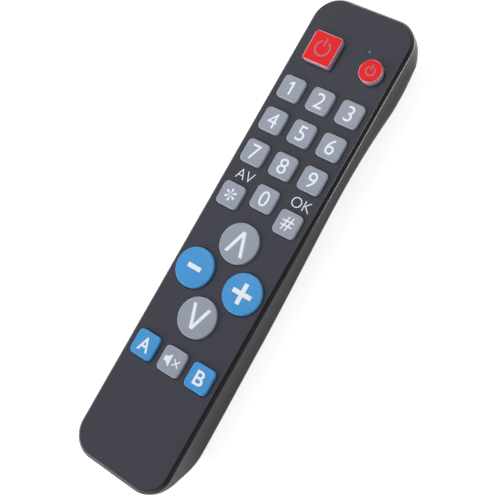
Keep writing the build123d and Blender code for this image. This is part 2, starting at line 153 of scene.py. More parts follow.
def spread(tree, value, low, high, at_low=0.0, at_high=1.0):
    """A level that goes from one value to another while the value given goes from low to high."""
    feeds = {"Value": value, "From Min": low, "From Max": high, "To Min": at_low, "To Max": at_high}
    return add_node(tree, "ShaderNodeMapRange", feeds).outputs[0]


def between(tree, kind, share, first, second):
    """What lies between two numbers or two colours, by the share."""
    one, other, result = mix_sockets[kind]
    feeds = {0: share, one: first, other: second}
    return add_node(tree, "ShaderNodeMix", feeds, data_type=kind).outputs[result]


world = bpy.data.worlds.new("room")
bpy.context.scene.world = world
world.use_nodes = True
tree = world.node_tree
background = tree.nodes["Background"]
background.inputs["Color"].default_value = (1, 1, 1, 1)
camera_ray, polished_ray = ray_kinds(tree)
where = add_node(tree, "ShaderNodeTexCoord").outputs["Generated"]
axes = add_node(tree, "ShaderNodeSeparateXYZ", {0: where}).outputs
light_by_height = spread(tree, axes["Z"], backdrop_top, 2 * backdrop_top, 1.0, ceiling_light)
light_by_side = spread(tree, axes["X"], -1.0, 1.0, 1.0 + room_lean, 1.0 - room_lean)
reflected = reckon(tree, "MULTIPLY", light_by_height, light_by_side)
unseen = between(tree, "FLOAT", polished_ray, room_light, reflected)
feed(tree, background.inputs["Strength"], between(tree, "FLOAT", camera_ray, unseen, 1.0))
for index, (width, length, power, place) in enumerate(panels):
    panel_data = bpy.data.lights.new(f"panel_{index}", "AREA")
    panel_data.shape = "RECTANGLE"
    panel_data.size = width
    panel_data.size_y = length
    panel_data.energy = power
    panel = add_object(f"panel_{index}", panel_data)
    panel.location = place
    panel.rotation_mode = "QUATERNION"
    panel.rotation_quaternion = (-Vector(place)).to_track_quat("-Z", "Y")

# Rear shell, the polished ABS tray that the hand holds. It is moulded in one with its battery bay, screw
# posts and board posts, and its wavy underside fits the fingers in front of the cells.
shell_low, shell_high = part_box("rear_shell")
body_length = shell_high.y - shell_low.y
body_width = shell_high.x - shell_low.x
half_length = body_length / 2
half_width = body_width / 2
seam = shell_high.z
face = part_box("front_cover")[1].z
board_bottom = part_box("circuit_board")[0].z
cells_low, cells_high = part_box("cell_left")[0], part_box("cell_right")[1]
door_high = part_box("battery_door")[1]
bay_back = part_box("contact_flags_back")[0].y
bay_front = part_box("contact_flags_front")[1].y
window_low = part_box("infrared_window")[0]
beyond = 5.0 * MM
weld = 0.002 * MM
fit_gap = 0.1 * MM
slide_gap = 0.3 * MM
corner_radius = 10.0 * MM
side_wall = 1.5 * MM
floor_wall = 1.7 * MM
bay_wall = 1.2 * MM
bay_side_gap = 0.45 * MM
contact_plate = 0.4 * MM
contact_tab = 2.0 * MM
post_diameter = 6.8 * MM
post_head = 2.2 * MM
front_post_from_side = 6.5 * MM
front_post_from_end = 8.3 * MM
back_post_from_middle = 9.0 * MM
back_post_from_end = 7.1 * MM
screw_head = 4.2 * MM
screw_shank = 2.2 * MM
screw_play = 0.2 * MM
board_post = 4.0 * MM
board_post_from_side = 9.0 * MM
board_posts_from_end = (46.2 * MM, 71.2 * MM, 91.2 * MM)
window_size = (14.0 * MM, 3.9 * MM, 0.8 * MM)
window_drop = 3.8 * MM
section_steps = 24
floor_steps = 3
turn_steps = 24
corner_steps = 8
rod_steps = 10
sharp_angle = 32
ring_step = 1.5 * MM
gloss_drift = 0.08
# The hull's depth, and how far across and up its lower edge is rounded, as shares: at angles round the nose
# and the tail, and at places along the straight middle
corner_angles = (22, 45, 68, 90)
nose_shares = ((0.765, 0.333, 0.510), (0.642, 0.300, 0.397), (0.530, 0.238, 0.294), (0.441, 0.190, 0.245))
middle_shares = (
    (0.8950, 0.892, 0.286, 0.588), (0.8235, 0.980, 0.267, 0.662), (0.7395, 1.005, 0.257, 0.686),
    (0.6450, 0.931, 0.267, 0.647), (0.5400, 0.843, 0.286, 0.588), (0.3403, 0.735, 0.286, 0.441),
    (0.1197, 0.804, 0.333, 0.417), (-0.1008, 0.926, 0.410, 0.441), (-0.3109, 1.0025, 0.438, 0.451),
    (-0.5630, 1.005, 0.381, 0.392), (-0.7311, 1.005, 0.348, 0.358), (-0.8151, 0.975, 0.348, 0.358),
    (-0.8571, 0.877, 0.376, 0.387), (-0.8950, 0.755, 0.443, 0.456),
)
tail_shares = ((0.632, 0.429, 0.436), (0.525, 0.333, 0.338), (0.456, 0.257, 0.265), (0.422, 0.190, 0.221))


def smooth_line(places, values):
    """A natural cubic through the values, as a function of place."""
    places = np.asarray(places, float)
    values = np.asarray(values, float)
    gaps = np.diff(places)
    count = len(places)
    matrix = np.eye(count)
    right = np.zeros((count, values.shape[1]))
    for k in range(1, count - 1):
        matrix[k, k - 1:k + 2] = gaps[k - 1], 2 * (gaps[k - 1] + gaps[k]), gaps[k]
        right[k] = 6 * ((values[k + 1] - values[k]) / gaps[k] - (values[k] - values[k - 1]) / gaps[k - 1])
    bend = np.linalg.solve(matrix, right)

    def at(place):
        """The values at one place."""
        k = int(np.clip(np.searchsorted(places, place) - 1, 0, count - 2))
        a, b, gap = places[k + 1] - place, place - places[k], gaps[k]
        curve = (bend[k] * a ** 3 + bend[k + 1] * b ** 3) / (6 * gap)
        lower = values[k] / gap - bend[k] * gap / 6
        upper = values[k + 1] / gap - bend[k + 1] * gap / 6
        return curve + lower * a + upper * b
    return at


def hull_rings(inset):
    """Where the hull's cross-sections stand and their shapes: place along, reach, depth, across and up."""
    radius = corner_radius - inset
    corner_along = half_length - corner_radius
    corner_across = half_width - corner_radius
    middle = sorted((share * half_length, row) for share, *row in middle_shares)
    shape = smooth_line([along for along, _ in middle], [row for _, row in middle])
    rings = []
    steps = int(2 * corner_along / ring_step)
    for k in range(steps + 1):
        along = -corner_along + 2 * corner_along * k / steps
        rings.append((along, corner_across + radius, *shape(along)))
    for side, shares in ((1, nose_shares), (-1, tail_shares)):
        end_shape = smooth_line((0, *corner_angles), [shape(side * corner_along), *shares])
        for angle in np.linspace(0, 90, turn_steps + 1)[1:]:
            along = corner_along + radius * sin(radians(angle))
            reach = corner_across + radius * cos(radians(angle))
            rings.append((side * along, reach, *end_shape(angle)))
    rings.sort(key=lambda ring: ring[0])
    return rings


def hull_solid(name, inset, floor_inset, top):
    """A closed solid of the wavy boat shape, drawn in by the insets, with a flat lid at the top."""
    work = bmesh.new()
    rows = []
    for along, reach, depth_share, across_share, up_share in hull_rings(inset):
        low = max(face * (1 - depth_share), 0) + floor_inset
        across = across_share * half_width - inset
        up = up_share * face - floor_inset
        half = [(reach, top), (reach, (top + low + up) / 2)]
        for k in range(section_steps + 1):
            angle = pi / 2 * k / section_steps
            half.append((reach - across + across * cos(angle), low + up - up * sin(angle)))
        flat = reach - across
        half += [(flat * (1 - k / floor_steps), low) for k in range(1, floor_steps + 1)]
        loop = half + [(-x, z) for x, z in reversed(half[:-1])]
        rows.append([work.verts.new((x, along, z)) for x, z in loop])
    for low_row, high_row in zip(rows, rows[1:]):
        for k in range(len(low_row) - 1):
            work.faces.new((low_row[k], low_row[k + 1], high_row[k + 1], high_row[k]))
    work.faces.new([row[0] for row in rows] + [row[-1] for row in reversed(rows)])
    work.faces.new(rows[0])
    work.faces.new(list(reversed(rows[-1])))
    return finished(name, work)


def finished(name, work):
    """The working mesh as an object, its sides all facing out."""
    bmesh.ops.recalc_face_normals(work, faces=work.faces)
    mesh = bpy.data.meshes.new(name)
    work.to_mesh(mesh)
    work.free()
    return add_object(name, mesh)


def block(x_from, x_to, y_from, y_to, z_from, z_to):
    """A plain block, for cutting and for walls."""
    work = bmesh.new()
    size = (x_to - x_from, y_to - y_from, z_to - z_from)
    middle = ((x_from + x_to) / 2, (y_from + y_to) / 2, (z_from + z_to) / 2)
    bmesh.ops.create_cube(work, size=1, matrix=Matrix.Translation(middle) @ Matrix.Diagonal((*size, 1)))
    return finished("block", work)


def rounded_loop(width, length, corner, steps):
    """The points round a rectangle with round corners, or round a circle where the corners meet."""
    points = []
    for quarter, (side_x, side_y) in enumerate(((1, 1), (-1, 1), (-1, -1), (1, -1))):
        for k in range(steps + 1):
            angle = pi / 2 * (quarter + k / steps)
            x = side_x * (width / 2 - corner) + corner * cos(angle)
            y = side_y * (length / 2 - corner) + corner * sin(angle)
            points.append((x, y))
    return points


def add_sides(work, low, high):
    """Adds the sides between two outlines of as many points."""
    for k in range(len(low)):
        after = (k + 1) % len(low)
        work.faces.new((low[k], low[after], high[after], high[k]))


def stack(name, levels, place=(0, 0), steps=corner_steps, room=None):
    """A closed solid through level rounded outlines: a width, a length, a corner and a height each."""
    work = bmesh.new()
    rows = []
    for width, length, corner, height in levels:
        row = []
        for x, y in rounded_loop(width, length, corner, steps):
            x += place[0]
            if room:
                x = max(-room, min(room, x))
            row.append(work.verts.new((x, y + place[1], height)))
        rows.append(row)
    for low_row, high_row in zip(rows, rows[1:]):
        add_sides(work, low_row, high_row)
    work.faces.new(list(reversed(rows[0])))
    work.faces.new(rows[-1])
    bmesh.ops.remove_doubles(work, verts=work.verts, dist=weld)
    return finished(name, work)


def turned(name, profile, place=(0, 0), steps=corner_steps):
    """A turned solid, from its width at each height."""
    return stack(name, [(width, width, width / 2, height) for width, height in profile], place, steps)


def rod(place, diameter, low, high):
    """An upright round bar, for posts and for holes."""
    return turned("rod", ((diameter, low), (diameter, high)), place, rod_steps)


def shape_with(piece, tools, operation):
    """Joins the tools to the piece, cuts them out, or keeps what they share, and uses the tools up."""
    group = bpy.data.collections.new("tools")
    for tool in tools:
        group.objects.link(tool)
    step = piece.modifiers.new("step", "BOOLEAN")
    step.operation = operation
    step.solver = "EXACT"
    step.operand_type = "COLLECTION"
    step.collection = group
    settle(piece)
    for tool in tools:
        bpy.data.meshes.remove(tool.data)
    bpy.data.collections.remove(group)
    return piece


def settle(piece):
    """Makes what the modifiers show the piece's own mesh."""
    depsgraph = bpy.context.evaluated_depsgraph_get()
    made = bpy.data.meshes.new_from_object(piece.evaluated_get(depsgraph))
    old = piece.data
    piece.modifiers.clear()
    piece.data = made
    bpy.data.meshes.remove(old)


def dress(piece, material, body, slot, *nodes):
    """Shades a finished piece, gives it its material and body, and hides the imported nodes that it stands
    for. The slot is not used.
    """
    mesh = piece.data
    mesh.shade_smooth()
    mesh.set_sharp_from_angle(angle=radians(sharp_angle))
    mesh.materials.clear()
    mesh.materials.append(material)
    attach(piece, body)
    if nodes:
        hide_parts(*nodes)


def linear(code):
    """A colour written as it shows on a screen, as the shader wants it."""
    parts = [int(code[k:k + 2], 16) / 255 for k in (0, 2, 4)]
    return tuple(c / 12.92 if c <= 0.04045 else ((c + 0.055) / 1.055) ** 2.4 for c in parts) + (1,)


def moulding_grain():
    """The fine skin of a moulding: small even grain for the surface, and slow patches for its tone."""
    group = bpy.data.node_groups.new("moulding_grain", "ShaderNodeTree")
    for way, names in (("INPUT", ("Grain Scale", "Patch Scale")), ("OUTPUT", ("Height", "Patch"))):
        for name in names:
            group.interface.new_socket(name, in_out=way, socket_type="NodeSocketFloat")
    scales = add_node(group, "NodeGroupInput").outputs
    where = add_node(group, "ShaderNodeTexCoord").outputs["Object"]
    noises = []
    for scale, detail in (("Grain Scale", 3.0), ("Patch Scale", 4.0)):
        feeds = {"Vector": where, "Scale": scales[scale], "Detail": detail}
        noises.append(add_node(group, "ShaderNodeTexNoise", feeds).outputs["Fac"])
    add_node(group, "NodeGroupOutput", dict(zip(("Height", "Patch"), noises)))
    return group


grain_group = moulding_grain()


def moulded(name, code, roughness, grain, depth, tone=0.06, patch=40, **sockets):
    """A moulded finish whose colour and gloss drift a little, with a grain as deep as given in MM."""
    material, shader = new_material(name, **sockets)
    tree = material.node_tree
    feeds = {"Grain Scale": grain, "Patch Scale": patch}
    skin = add_node(tree, "ShaderNodeGroup", feeds, node_tree=grain_group)
    height, drift = skin.outputs["Height"], skin.outputs["Patch"]
    dark, light = (tuple(min(c * (1 + way * tone), 1) for c in linear(code)[:3]) + (1,) for way in (-1, 1))
    dull, bright = (roughness * (1 + way * gloss_drift) for way in (-1, 1))
    bump = add_node(tree, "ShaderNodeBump", {"Strength": 1.0, "Distance": depth * MM, "Height": height})
    feed(tree, shader.inputs["Base Color"], between(tree, "RGBA", drift, dark, light))
    feed(tree, shader.inputs["Roughness"], spread(tree, drift, 0.0, 1.0, dull, bright))
    feed(tree, shader.inputs["Normal"], bump.outputs["Normal"])
    return material


# The battery door's outline and rails are worked out here, because the shell is cut to take them
wall_back = bay_back - bay_wall
wall_front = bay_front + bay_wall
door_wall = 1.7 * MM
door_rail_width = 1.5 * MM
door_rail_top = 2.7 * MM
door_lip = 1.1 * MM
door_lip_thickness = 0.8 * MM
door_rib = 1.9 * MM
door_overlap = 0.6 * MM
door_half = door_high.x - door_lip
door_tail = wall_back - door_overlap
door_rib_front = door_tail + door_rib


def door_region(gap):
    """The part of the underside that the battery door takes, grown by a gap, open towards the tail."""
    half = door_half + gap
    tail_half = door_high.x + gap
    end = -body_length
    return [block(-half, half, end, door_high.y + gap, -beyond, door_wall + gap),
            block(-half, half, end, door_rib_front + gap, -beyond, door_rail_top + gap),
            block(-tail_half, tail_half, end, door_tail + gap, -beyond, door_high.z + gap)]


def door_rails(gap):
    """The two rails inside the door, with the lips that slide over the shell's ledges, grown by a gap."""
    start = bay_front - slide_gap - door_overlap + gap
    end = door_tail if gap == 0 else -body_length
    top = door_rail_top + gap
    lip_low = door_rail_top - door_lip_thickness - gap
    rails = []
    for side in (-1, 1):
        edge = side * door_half
        inner = edge - side * (door_rail_width + gap)
        outer = edge + side * (door_lip + gap)
        rails.append(block(*sorted((inner, edge)), end, start, door_wall, top))
        rails.append(block(*sorted((inner, outer)), end, start, lip_low, top))
    return rails


bay_half = cells_high.x + bay_side_gap
bay_ceiling = cells_high.z + slide_gap
bay_outer = bay_half + bay_wall
rail_room = door_rail_top + slide_gap
post_top = board_bottom + fit_gap
screw_seat = post_top - post_head
front_post = (half_width - front_post_from_side, half_length - front_post_from_end)
back_post = (back_post_from_middle, back_post_from_end - half_length)
post_places = [(side * across, along) for across, along in (front_post, back_post) for side in (-1, 1)]
inside = [block(-bay_outer, bay_outer, wall_back, wall_front, rail_room, board_bottom),
          block(-half_width, half_width, wall_back, wall_front, bay_ceiling, board_bottom),
          block(-half_width, half_width, wall_back, bay_back, -beyond, board_bottom),
          block(-half_width, half_width, bay_front, wall_front, -beyond, board_bottom)]
inside += [rod(place, post_diameter, -beyond, post_top) for place in post_places]
for from_end in board_posts_from_end:
    for side in (-1, 1):
        place = (side * (half_width - board_post_from_side), half_length - from_end)
        inside.append(rod(place, board_post, -beyond, board_bottom))
inside = shape_with(inside[0], inside[1:], "UNION")
shape_with(inside, [hull_solid("boat", side_wall / 2, floor_wall / 2, seam)], "INTERSECT")

shell = hull_solid("rear_shell_moulding", 0, 0, seam)
shape_with(shell, [hull_solid("hollow", side_wall, floor_wall, seam + beyond)], "DIFFERENCE")
shape_with(shell, [inside], "UNION")
openings = [block(-bay_half, bay_half, bay_back, bay_front, door_wall, bay_ceiling),
            block(-bay_outer, bay_outer, bay_back, bay_front, door_wall, rail_room)]
openings += door_region(slide_gap) + door_rails(slide_gap)
for place in post_places:
    openings.append(rod(place, screw_head + 2 * screw_play, -beyond, screw_seat))
    openings.append(rod(place, screw_shank + 2 * screw_play, -beyond, seam))
cell_axis = (cells_low.z + cells_high.z) / 2
cell_apart = (cells_low.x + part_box("cell_left")[1].x) / 2
tab_back = bay_front - contact_plate - fit_gap
tab_half = contact_tab / 2 + fit_gap
for middle in (-cell_apart, cell_apart):
    openings.append(block(middle - tab_half, middle + tab_half, tab_back, bay_front, cell_axis, post_top))
slot_levels = [(*window_size, height) for height in (-body_length, beyond / 2 - window_low.y)]
window_slot = stack("window_slot", slot_levels, (0, seam - window_drop))
window_slot.data.transform(Matrix.Rotation(pi / 2, 4, "X"))
openings.append(window_slot)
shape_with(shell, openings, "DIFFERENCE")
shell_finish = moulded("polished_black", "24252B", 0.14, grain=900, depth=0.0006, Specular_IOR_Level=0.8)
dress(shell, shell_finish, "casing", "shell_black", "rear_shell")

# Battery door, moulded in the same black ABS. Two lipped rails slide under ledges of the shell, and five
# grooves give the thumb a hold.
grip_count = 5
grip_pitch = 2.0 * MM
grip_width = 13.0 * MM
grip_groove = 0.9 * MM
grip_depth = 0.5 * MM
grip_from_rib = 10.0 * MM
grip_sides = 20


def grown(name, tree, values):
    """The plain mesh that a Geometry Nodes tree makes with the values given for its inputs."""
    piece = add_object(name, bpy.data.meshes.new(name))
    step = piece.modifiers.new("grow", "NODES")
    step.node_group = tree
    for socket in tree.interface.items_tree:
        if socket.in_out == "INPUT" and socket.name in values:
            step[socket.identifier] = values[socket.name]
    settle(piece)
    return piece


def start_tree(name, **inputs):
    """A new Geometry Nodes tree and its inputs: those named for each kind, and one for the material."""
    tree = bpy.data.node_groups.new(name, "GeometryNodeTree")
    tree.interface.new_socket("Geometry", in_out="OUTPUT", socket_type="NodeSocketGeometry")
    for kind, names in {**inputs, "Material": ("Material",)}.items():
        for size in names:
            tree.interface.new_socket(size, in_out="INPUT", socket_type="NodeSocket" + kind)
    return tree, add_node(tree, "NodeGroupInput").outputs


def end_tree(tree, given, geometry):
    """Realizes what a tree has made, gives it its material and puts it out."""
    real = add_node(tree, "GeometryNodeRealizeInstances", {0: geometry}).outputs[0]
    painted = add_node(tree, "GeometryNodeSetMaterial", {"Geometry": real, "Material": given["Material"]})
    add_node(tree, "NodeGroupOutput", {0: painted.outputs[0]})
    return tree


def moved(tree, geometry, **feeds):
    """A geometry that a Transform node has sized, turned or moved."""
    return add_node(tree, "GeometryNodeTransform", {"Geometry": geometry, **feeds}).outputs[0]


def thumb_grooves_tree():
    """A row of round bars across the door, to cut its thumb grooves with."""
    tree, given = start_tree("thumb_grooves", Int=("Count",), Vector=("Start", "Step", "Bar Size"))
    row = add_node(tree, "GeometryNodeMeshLine", {"Count": given["Count"], "Start Location": given["Start"],
                                                  "Offset": given["Step"]}).outputs["Mesh"]
    bar = add_node(tree, "GeometryNodeMeshCylinder", {"Vertices": grip_sides, "Radius": 0.5, "Depth": 1.0})
    lying = moved(tree, bar.outputs["Mesh"], Rotation=(0, pi / 2, 0))
    sized = moved(tree, lying, Scale=given["Bar Size"])
    copies = add_node(tree, "GeometryNodeInstanceOnPoints", {"Points": row, "Instance": sized})
    return end_tree(tree, given, copies.outputs[0])


region = door_region(0)
region = shape_with(region[0], region[1:], "UNION")
door = shape_with(hull_solid("battery_door_moulding", 0, 0, seam), [region], "INTERSECT")
between_rails = door_half - door_rail_width
rib = block(-between_rails, between_rails, door_tail, door_rib_front, door_wall, door_rail_top)
shape_with(door, [rib, *door_rails(0)], "UNION")
groove_sizes = {"Count": grip_count, "Start": (0, door_rib_front + grip_from_rib, 0),
                "Step": (0, -grip_pitch, 0), "Bar Size": (grip_width, grip_groove, 2 * grip_depth)}
grooves = grown("grooves", thumb_grooves_tree(), groove_sizes)
shape_with(door, [grooves], "DIFFERENCE")
dress(door, shell_finish, "battery_door", "shell_black", "battery_door")

# Cells, two of the AAA size side by side, turned opposite ways. Each is a nickel-plated can with a nub, in a
# shrunk sleeve that folds over both ends, printed in two plain tones.
cell_nub = 3.8 * MM
cell_nub_length = 0.8 * MM
nub_foot = 0.02 * MM
nub_round = 0.15 * MM
crown_flat = 5.44 * MM
cell_inset = 0.15 * MM
head_band = 12.0 * MM
band_blur = 0.1 * MM
dark_print = "3A3D42"
light_print = "B9BDC2"
# How much narrower the can and the sleeve are near their ends, and how far from the foot or shoulder, in MM
can_foot = ((1.0, 0), (0, 0.5))
can_shoulder = ((0, 0.7), (1.2, 0.2))
sleeve_foot = ((2.2, 0.02), (0.5, 0.02), (0, 0.3))
sleeve_shoulder = ((0, 0.5), (0.25, 0.2), (1.6, 0.12))


def cell_profile(width, foot, low, shoulder, high):
    """The widths and heights of a can or a sleeve, from its foot to its shoulder."""
    return ([(width - less * MM, low + rise * MM) for less, rise in foot]
            + [(width - less * MM, high - drop * MM) for less, drop in shoulder])


def laid_along(piece, turn, place):
    """Lays an upright piece along the body, top forward where the turn is 1, its middle at the place."""
    piece.data.transform(Matrix.Translation(place) @ Matrix.Rotation(radians(-90 * turn), 4, "X"))
    return piece


def second_tone(material, axis, start, end, code, past_end):
    """Gives a finish a second colour past the end of a short stretch of an axis, or before its start."""
    tree = material.node_tree
    colour = tree.nodes["Principled BSDF"].inputs["Base Color"]
    where = add_node(tree, "ShaderNodeTexCoord").outputs["Object"]
    along = add_node(tree, "ShaderNodeSeparateXYZ", {0: where}).outputs[axis]
    tones = [colour.links[0].from_socket, linear(code)]
    if not past_end:
        tones.reverse()
    feed(tree, colour, between(tree, "RGBA", spread(tree, along, start, end), *tones))
    return material


plated_steel = moulded("plated_steel", "C9C6BF", 0.28, grain=1200, depth=0.0006, patch=300, Metallic=1.0)
for name, turn, tail_print, head_print in (("cell_left", 1, dark_print, light_print),
                                           ("cell_right", -1, light_print, dark_print)):
    low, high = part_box(name)
    place = (low + high) / 2
    diameter = high.x - low.x
    half = (high.y - low.y) / 2
    body_end = half - cell_nub_length
    crown = cell_profile(diameter - 2 * cell_inset, can_foot, -half, can_shoulder, body_end)
    crown += [(crown_flat, body_end), (cell_nub, body_end + nub_foot), (cell_nub, half - nub_round),
              (cell_nub - 2 * nub_round, half)]
    can = laid_along(turned(name + "_can", crown), turn, place)
    dress(can, plated_steel, "casing", "plated_steel", name)
    wrap = cell_profile(diameter, sleeve_foot, -half, sleeve_shoulder, body_end)
    sleeve = laid_along(turned(name + "_sleeve", wrap), turn, place)
    split = place.y + turn * (half - head_band)
    finish = moulded(name + "_print", tail_print, 0.3, grain=400, depth=0.0008, patch=150)
    second_tone(finish, "Y", split - band_blur, split + band_blur, head_print, past_end=True)
    dress(sleeve, finish, "casing", "cell_sleeve", name)

# Contact springs, wound from steel wire and plated. Each is a conical coil that stands on its contact and
# presses on the flat end of a cell. The contacts themselves are of the same plated steel.
spring_wire = 0.5 * MM
spring_base = 6.6 * MM
spring_tip = 4.4 * MM
spring_turns = 5.0
spring_steps = 32
wire_sides = 12


def contact_spring_tree():
    """A conical coil along Z, its wire swept round a spiral."""
    sizes = ("Turns", "Height", "Base Radius", "Tip Radius", "Wire Radius")
    tree, given = start_tree("contact_spring", Float=sizes, Vector=("Place", "Turning"))
    coil = add_node(tree, "GeometryNodeCurveSpiral", {
        "Resolution": spring_steps, "Rotations": given["Turns"], "Start Radius": given["Base Radius"],
        "End Radius": given["Tip Radius"], "Height": given["Height"]}).outputs[0]
    wire = add_node(tree, "GeometryNodeCurvePrimitiveCircle", {"Resolution": wire_sides,
                                                               "Radius": given["Wire Radius"]}).outputs[0]
    swept = add_node(tree, "GeometryNodeCurveToMesh", {"Curve": coil, "Profile Curve": wire,
                                                       "Fill Caps": True}).outputs[0]
    return end_tree(tree, given, moved(tree, swept, Translation=given["Place"], Rotation=given["Turning"]))


def finish_solid(name, finish):
    """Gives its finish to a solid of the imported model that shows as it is."""
    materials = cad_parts[name].data.materials
    materials.clear()
    materials.append(finish)


spring_tree = contact_spring_tree()
for name, wall, turn in (("spring_left", bay_back, -1), ("spring_right", bay_front, 1)):
    low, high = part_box(name)
    foot = wall - turn * (contact_plate + spring_wire / 2)
    sizes = {"Turns": spring_turns, "Height": high.y - low.y - spring_wire, "Base Radius": spring_base / 2,
             "Tip Radius": spring_tip / 2, "Wire Radius": spring_wire / 2, "Turning": (turn * pi / 2, 0, 0),
             "Place": ((low.x + high.x) / 2, foot, (low.z + high.z) / 2), "Material": plated_steel}
    spring = grown(name + "_coil", spring_tree, sizes)
    dress(spring, plated_steel, "casing", "plated_steel", name)
finish_solid("contact_flags_front", plated_steel)
finish_solid("contact_flags_back", plated_steel)

# Circuit board of brown phenolic laminate, with the parts soldered under it, and the grey silicone sheet
# that lies on it.
laminate = moulded("phenolic_laminate", "7A5A30", 0.45, grain=300, depth=0.002, tone=0.15, patch=90)
finish_solid("circuit_board", laminate)
finish_solid("controller_chip", moulded("chip_epoxy", "1B1B1D", 0.5, grain=3000, depth=0.003))
finish_solid("resonator", moulded("dipped_ceramic", "2A5FA8", 0.25, grain=500, depth=0.004))
finish_solid("capacitor", moulded("capacitor_sleeve", "1C2550", 0.25, grain=300, depth=0.002))
finish_solid("keypad_sheet", moulded("silicone_sheet", "6B6D72", 0.6, grain=1800, depth=0.004))

# Infrared sender of clear epoxy behind its dark window, and the small indicator under its light pipe. The
# window is acrylic that passes infrared, and it clips into the end wall of the shell.
pipe_pin = 1.6 * MM
pipe_collar = 3.2 * MM
collar_drop = 1.8 * MM
collar_height = 0.6 * MM
pin_dome = 0.1 * MM
dome_shares = ((1, 1), (0.8, 1 / 3), (0.4, 0))

clear_epoxy = moulded("clear_epoxy", "C9CEDC", 0.08, grain=600, depth=0.0005, Transmission_Weight=0.9,
                      IOR=1.53)
finish_solid("infrared_sender", clear_epoxy)
finish_solid("indicator_diode", clear_epoxy)
finish_solid("infrared_window", moulded("dark_acrylic", "16090C", 0.06, grain=700, depth=0.0004))
frosted_epoxy = moulded("frosted_epoxy", "4A5462", 0.5, grain=900, depth=0.001)
low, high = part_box("light_pipe")
pipe_place = ((low.x + high.x) / 2, (low.y + high.y) / 2)
collar_top = face - collar_drop
collar_low = collar_top - collar_height
pin = [(pipe_pin, low.z), (pipe_pin, collar_low), (pipe_collar, collar_low), (pipe_collar, collar_top),
       (pipe_pin, collar_top)]
pin += [(pipe_pin * across, face - pin_dome * drop) for across, drop in dome_shares]
pipe = turned("light_pipe_moulding", pin, pipe_place)
dress(pipe, frosted_epoxy, "casing", "lens_clear", "light_pipe")

# Keys, moulded in silicone with soft edges: a cap that stands out of the face, a flange that keeps it in and
# a plunger over its contact on the board. The signs are printed on the caps in white.
key_low, key_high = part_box("key_one")
key_skirt = 0.8 * MM
plunger = 4.6 * MM
plunger_length = 0.95 * MM
flange_height = 0.9 * MM
flange_low = key_low.z + plunger_length
flange_high = flange_low + flange_height
flange_corner = 0.3 * MM
lip_wall = 0.65 * MM
flange_room = half_width - side_wall - fit_gap - lip_wall - slide_gap
number_cap = (9.3 * MM, 9.2 * MM, 1.8 * MM)
soft_cap = (9.7 * MM, 9.7 * MM, 1.8 * MM)
disc = 15.3 * MM
disc_cap = (disc, disc, disc / 2)
cap_edge = 0.5 * MM
edge_steps = 6
least_corner_share = 0.25
disc_steps = 24
# The painted lighter tone on the keys' edges and sides, standing in for light through the thin silicone: how
# far below the cap's top it is full, and the share of that depth at which it has faded out
painted_glow_depth = 0.12 * MM
painted_glow_fade_share = 0.1
clipped_by = 0.5 * MM
ink_thickness = 0.03 * MM
ink_sink = 0.01 * MM
ink_step = 0.001 * MM
number_height = 5.9 * MM
letter_height = 5.4 * MM
letter_weight = 0.015
letter_shares = {"a": 0.88, "b": 1.05}
letter_steps = 8
letter_half = 0.5
chevron_size = (3.9 * MM, 9.0 * MM, 1.4 * MM)
minus_length = 5.7 * MM
plus_length = 8.0 * MM
bar_stroke = 1.75 * MM
star_arms = 6
star_arm = (0.2 * MM, 2.5 * MM, 0.95 * MM)
arm_sweep = 200
arm_steps = 8
hash_height = 5.4 * MM
hash_width = 4.8 * MM
hash_apart = 0.85 * MM
hash_lean = 78
hash_stroke = 0.55 * MM
mute_cross = 3.64 * MM
mute_cross_from_middle = 1.9 * MM
mute_stroke = 0.5 * MM
one = [(-0.25, -2.65), (0.55, -2.65), (0.55, 2.65), (-0.1, 2.65), (-1.45, 1.75), (-1.1, 1.1), (-0.25, 1.65)]
speaker = [(-3.3, -0.95), (-2.3, -0.95), (-0.55, -2.45), (-0.55, 2.45), (-2.3, 0.95), (-3.3, 0.95)]
digits = ("zero", "one", "two", "three", "four", "five", "six", "seven", "eight", "nine")
blue_signs = ("minus", "plus", "a", "b")
key_caps = {**dict.fromkeys((*digits, "star", "hash"), number_cap),
            **dict.fromkeys(("up", "down", "minus", "plus"), disc_cap),
            **dict.fromkeys(("mute", "a", "b"), soft_cap)}


def rimmed(name, code, painted_glow_code):
    """Silicone with painted light: a lighter tone on its rounded edge and sides below the level top,
    standing in for light that passes through the thin edge.
    """
    material = moulded(name, code, 0.5, grain=2600, depth=0.012, tone=0.03, patch=200, Sheen_Weight=0.15,
                       Sheen_Roughness=0.4, Subsurface_Weight=0.3, Subsurface_Scale=0.6 * MM,
                       Subsurface_Radius=(1.0, 1.0, 1.0))
    # Painted light: below the top, the colour turns to the lighter tone
    painted_glow_end = key_high.z - painted_glow_depth * painted_glow_fade_share
    return second_tone(material, "Z", key_high.z - painted_glow_depth, painted_glow_end, painted_glow_code, past_end=False)


def key_place(name):
    """The middle of a key seen from above, also where the case's lip has clipped one side of its flange."""
    low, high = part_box(name)
    middle = (low + high) / 2
    reach = (high.y - low.y) / 2
    if high.y - low.y - (high.x - low.x) > clipped_by:
        middle.x = high.x - reach if middle.x < 0 else low.x + reach
    return middle.x, middle.y


def cap_steps(size):
    """How many steps each corner of a cap has: more where the corners meet in a disc."""
    width, _, corner = size
    return disc_steps if corner * 2 >= width else corner_steps


def key_levels(width, length, corner, top, edge):
    """A key's outlines from its plunger up to its softly rounded cap."""
    levels = [(plunger, plunger, plunger / 2, height) for height in (key_low.z, flange_low)]
    skirt_corner = corner + key_skirt if corner * 2 >= width else flange_corner
    levels += [(width + 2 * key_skirt, length + 2 * key_skirt, skirt_corner, height)
               for height in (flange_low, flange_high)]
    levels.append((width, length, corner, flange_high))
    for k in range(edge_steps + 1):
        angle = pi / 2 * k / edge_steps
        inset = edge * (1 - cos(angle))
        height = top - edge + edge * sin(angle)
        least_corner = max(corner - inset, edge * least_corner_share)
        levels.append((width - 2 * inset, length - 2 * inset, least_corner, height))
    return levels


